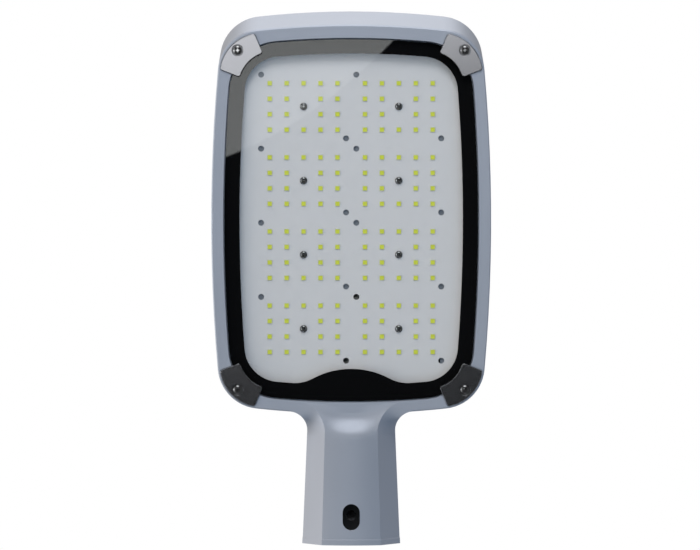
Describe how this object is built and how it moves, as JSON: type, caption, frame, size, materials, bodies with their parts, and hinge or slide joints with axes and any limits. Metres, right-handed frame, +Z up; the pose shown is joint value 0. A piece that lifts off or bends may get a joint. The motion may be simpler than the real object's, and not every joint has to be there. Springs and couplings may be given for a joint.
{
  "type": "led street light head",
  "caption": "Flat oblong street light head with a glass cover over a board of small LEDs, corner clamps, cooling fins and a round spigot for a pole end.",
  "frame": {"origin": "centre of the spigot's mouth", "axes": "+Y from the pole towards the nose, +Z up, the glass faces -Z as in use, the pole leaves along -Y"},
  "size_m": [0.21, 0.4012, 0.085],
  "materials": {
    "casting": "satin powder coat",
    "glass": "clear toughened",
    "border_print": "gloss black print",
    "seal": "matt",
    "clamp_plate": "satin",
    "screw_steel": "bright",
    "board": "white solder mask",
    "led": "satin",
    "connector": "matt",
    "driver_case": "satin",
    "terminal": "matt",
    "gland": "matt",
    "lead": "matt"
  },
  "bodies": {
    "root": {"housing": "casting", "glass_cover": "glass", "glass_border_print": "border_print", "glass_gasket": "seal", "gland_flat_seal": "seal", "gland_bush": "seal", "clamp_nose_left": "clamp_plate", "clamp_nose_right": "clamp_plate", "clamp_neck_left": "clamp_plate", "clamp_neck_right": "clamp_plate", "clamp_screws": "screw_steel", "board_screws": "screw_steel", "driver_screws": "screw_steel", "terminal_screw": "screw_steel", "earth_screw": "screw_steel", "pole_screws": "screw_steel", "pole_screw_nuts": "screw_steel", "led_board": "board", "led_group_1": "led", "led_group_2": "led", "led_group_3": "led", "led_group_4": "led", "led_group_5": "led", "led_group_6": "led", "led_group_7": "led", "led_group_8": "led", "board_connector": "connector", "led_driver": "driver_case", "terminal_block": "terminal", "gland_body": "gland", "gland_cap": "gland", "input_lead": "lead", "output_lead": "lead"}
  },
  "joints": []
}
